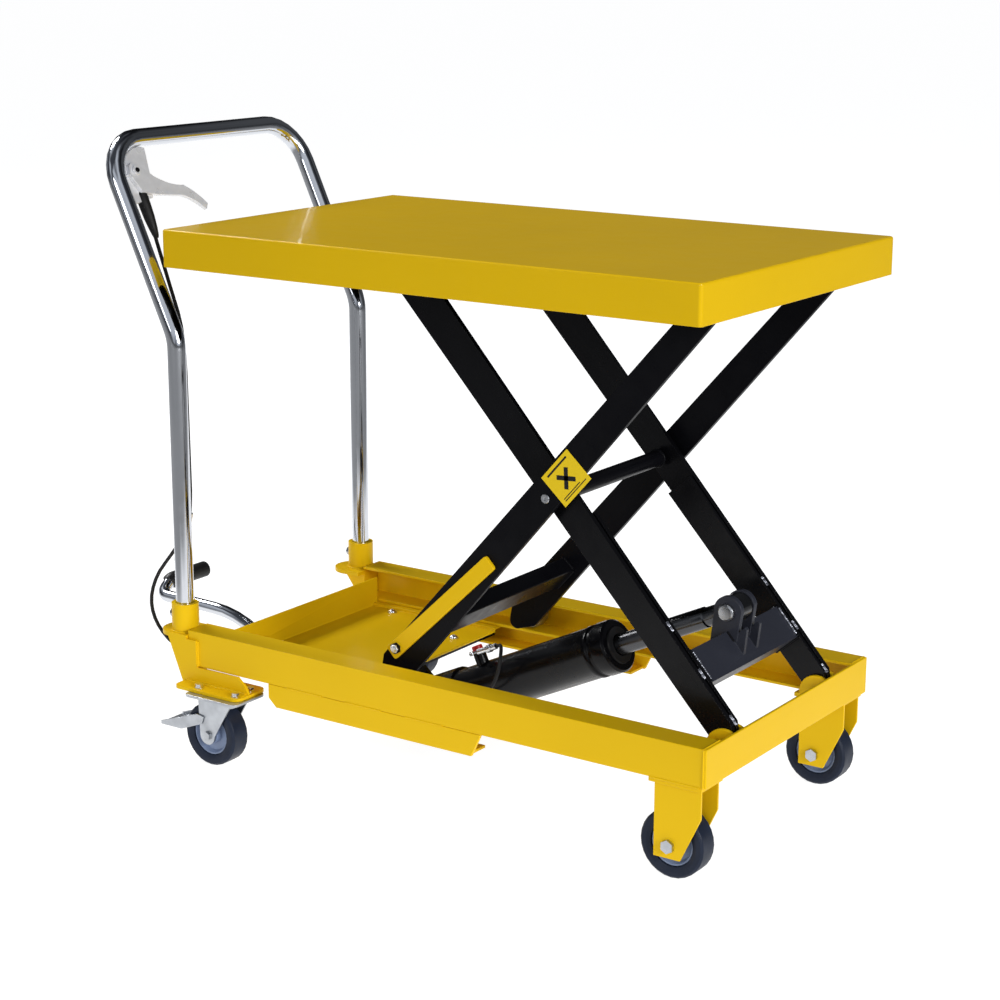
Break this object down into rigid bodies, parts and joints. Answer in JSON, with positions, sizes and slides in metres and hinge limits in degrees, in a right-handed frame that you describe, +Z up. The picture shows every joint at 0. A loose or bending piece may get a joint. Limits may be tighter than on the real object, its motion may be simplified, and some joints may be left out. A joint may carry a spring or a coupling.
{
  "type": "scissor lift table",
  "caption": "Mobile scissor lift table: yellow platform on black crossed arms, foot-pumped cylinder, chrome push handle with a release lever, fixed front wheels and braked rear casters.",
  "frame": {"origin": "on the floor, under the middle of the trolley's bounding box", "axes": "+X from the push handle towards the fixed front wheels, +Y to the left of that direction, +Z up"},
  "size_m": [1.0564, 0.515, 0.8566],
  "materials": {
    "yellow_paint": "gloss yellow paint",
    "black_paint": "gloss black paint",
    "chrome": "polished chrome plate",
    "zinc_plated": "bright zinc plate",
    "roller_steel": "turned steel",
    "wheel_tread": "smooth grey-blue tread",
    "wheel_hub": "moulded blue-grey plastic",
    "black_rubber": "matt black"
  },
  "bodies": {
    "base": {"base_side_rail_near": "yellow_paint", "base_side_rail_far": "yellow_paint", "base_front_member": "yellow_paint", "rear_tray": "yellow_paint", "rail_stiffener_near": "yellow_paint", "rail_stiffener_far": "yellow_paint", "pump_hanger": "black_paint", "corner_bracket_near": "yellow_paint", "corner_bracket_far": "yellow_paint", "handle_tube": "chrome", "lower_pivot_bracket_near": "yellow_paint", "lower_pivot_bracket_far": "yellow_paint", "lower_pivot_pin_near": "zinc_plated", "lower_pivot_pin_far": "zinc_plated", "front_fork_near": "yellow_paint", "front_fork_far": "yellow_paint", "front_axle_near": "zinc_plated", "front_axle_far": "zinc_plated", "caster_plate_near": "zinc_plated", "caster_plate_far": "zinc_plated", "release_lever_bracket": "zinc_plated", "release_cable": "black_rubber"},
    "inner_arms": {"inner_arm_near": "black_paint", "inner_arm_far": "black_paint", "inner_crossmember": "black_paint", "clevis_pin": "zinc_plated", "centre_tube": "black_paint"},
    "outer_arms": {"outer_arm_near": "black_paint", "outer_arm_far": "black_paint", "outer_crossmember": "black_paint"},
    "safety_bar": {"safety_bar": "yellow_paint"},
    "table": {"table_top": "yellow_paint", "guide_rail_near": "yellow_paint", "guide_rail_far": "yellow_paint", "upper_pivot_bracket_near": "black_paint", "upper_pivot_bracket_far": "black_paint"},
    "pump_unit": {"barrel": "black_paint", "pump_block": "black_paint"},
    "ram": {"ram": "chrome"},
    "release_valve_arm": {"release_valve_arm": "zinc_plated"},
    "pump_pedal": {"pump_pedal": "chrome", "pedal_grip": "black_rubber"},
    "release_lever": {"release_lever": "zinc_plated"},
    "front_wheel_near": {"front_tyre_near": "wheel_tread", "front_hub_near": "wheel_hub"},
    "caster_fork_near": {"caster_fork_near": "zinc_plated"},
    "caster_wheel_near": {"caster_tyre_near": "wheel_tread", "caster_hub_near": "wheel_hub"},
    "caster_brake_near": {"caster_brake_near": "zinc_plated"},
    "lower_roller_near": {"lower_roller_near": "roller_steel"},
    "upper_roller_near": {"upper_roller_near": "roller_steel"},
    "front_wheel_far": {"front_tyre_far": "wheel_tread", "front_hub_far": "wheel_hub"},
    "caster_fork_far": {"caster_fork_far": "zinc_plated"},
    "caster_wheel_far": {"caster_tyre_far": "wheel_tread", "caster_hub_far": "wheel_hub"},
    "caster_brake_far": {"caster_brake_far": "zinc_plated"},
    "lower_roller_far": {"lower_roller_far": "roller_steel"},
    "upper_roller_far": {"upper_roller_far": "roller_steel"}
  },
  "joints": [
    {"name": "inner_arm_lift", "type": "hinge", "parent": "base", "child": "inner_arms", "pos_m": [0.507, 0, 0.155], "axis": [0, 1, 0], "range_deg": [-40.19, 10.08]},
    {"name": "outer_arm_fold", "type": "hinge", "parent": "inner_arms", "child": "outer_arms", "pos_m": [0.2565, 0, 0.436], "axis": [0, 1, 0], "range_deg": [-20.2, 80.5]},
    {"name": "table_lift", "type": "hinge", "parent": "outer_arms", "child": "table", "pos_m": [0.507, 0, 0.717], "axis": [0, 1, 0], "range_deg": [-40.3, 10.2]},
    {"name": "barrel_tilt", "type": "hinge", "parent": "base", "child": "pump_unit", "pos_m": [-0.055, 0, 0.06], "axis": [0, 1, 0], "range_deg": [-0.9, 3.3]},
    {"name": "ram_pivot", "type": "hinge", "parent": "inner_arms", "child": "ram", "pos_m": [0.444, 0, 0.288], "axis": [0, 1, 0], "range_deg": [-11, 43.6]},
    {"name": "pump_pedal_press", "type": "hinge", "parent": "pump_unit", "child": "pump_pedal", "pos_m": [-0.1, -0.036, 0.062], "axis": [0, -1, 0], "range_deg": [0, 18], "stiffness_Nm_per_rad": 8, "springref_deg": -28.65},
    {"name": "release_lever_pull", "type": "hinge", "parent": "base", "child": "release_lever", "pos_m": [-0.41912, -0.167, 0.79968], "axis": [0.9046, 0, 0.4262], "range_deg": [0, 15], "stiffness_Nm_per_rad": 0.5, "springref_deg": -22.92},
    {"name": "release_valve_turn", "type": "hinge", "parent": "pump_unit", "child": "release_valve_arm", "pos_m": [0.04695, -0.004, 0.15679], "axis": [-0.4281, 0, 0.9037], "range_deg": [0, 22.6]},
    {"name": "front_wheel_spin_near", "type": "hinge", "parent": "base", "child": "front_wheel_near", "pos_m": [0.476, -0.191, 0.0445], "axis": [0, 1, 0], "continuous": true},
    {"name": "caster_swivel_near", "type": "hinge", "parent": "base", "child": "caster_fork_near", "pos_m": [-0.226, -0.224, 0.092], "axis": [0, 0, 1], "continuous": true},
    {"name": "caster_wheel_spin_near", "type": "hinge", "parent": "caster_fork_near", "child": "caster_wheel_near", "pos_m": [-0.242, -0.224, 0.0445], "axis": [0, 1, 0], "continuous": true},
    {"name": "caster_brake_press_near", "type": "hinge", "parent": "caster_fork_near", "child": "caster_brake_near", "pos_m": [-0.252, -0.224, 0.0675], "axis": [0, -1, 0], "range_deg": [0, 12]},
    {"name": "lower_roller_spin_near", "type": "hinge", "parent": "outer_arms", "child": "lower_roller_near", "pos_m": [0.006, -0.194, 0.155], "axis": [0, 1, 0], "continuous": true},
    {"name": "upper_roller_spin_near", "type": "hinge", "parent": "inner_arms", "child": "upper_roller_near", "pos_m": [0.006, -0.108, 0.717], "axis": [0, 1, 0], "continuous": true},
    {"name": "front_wheel_spin_far", "type": "hinge", "parent": "base", "child": "front_wheel_far", "pos_m": [0.476, 0.191, 0.0445], "axis": [0, 1, 0], "continuous": true},
    {"name": "caster_swivel_far", "type": "hinge", "parent": "base", "child": "caster_fork_far", "pos_m": [-0.226, 0.224, 0.092], "axis": [0, 0, 1], "continuous": true},
    {"name": "caster_wheel_spin_far", "type": "hinge", "parent": "caster_fork_far", "child": "caster_wheel_far", "pos_m": [-0.242, 0.224, 0.0445], "axis": [0, 1, 0], "continuous": true},
    {"name": "caster_brake_press_far", "type": "hinge", "parent": "caster_fork_far", "child": "caster_brake_far", "pos_m": [-0.252, 0.224, 0.0675], "axis": [0, -1, 0], "range_deg": [0, 12]},
    {"name": "lower_roller_spin_far", "type": "hinge", "parent": "outer_arms", "child": "lower_roller_far", "pos_m": [0.006, 0.194, 0.155], "axis": [0, 1, 0], "continuous": true},
    {"name": "upper_roller_spin_far", "type": "hinge", "parent": "inner_arms", "child": "upper_roller_far", "pos_m": [0.006, 0.108, 0.717], "axis": [0, 1, 0], "continuous": true},
    {"name": "safety_bar_swing", "type": "hinge", "parent": "outer_arms", "child": "safety_bar", "pos_m": [0.026, -0.16, 0.2], "axis": [0, -1, 0], "range_deg": [0, 50]}
  ],
  "couplings": [
    {"joint": "outer_arm_fold", "follows": "inner_arm_lift", "ratio": -2},
    {"joint": "table_lift", "follows": "inner_arm_lift", "ratio": 1},
    {"joint": "barrel_tilt", "follows": "inner_arm_lift", "ratio": -0.08},
    {"joint": "ram_pivot", "follows": "inner_arm_lift", "ratio": -1.08},
    {"joint": "release_valve_turn", "follows": "release_lever_pull", "ratio": 1.5}
  ]
}
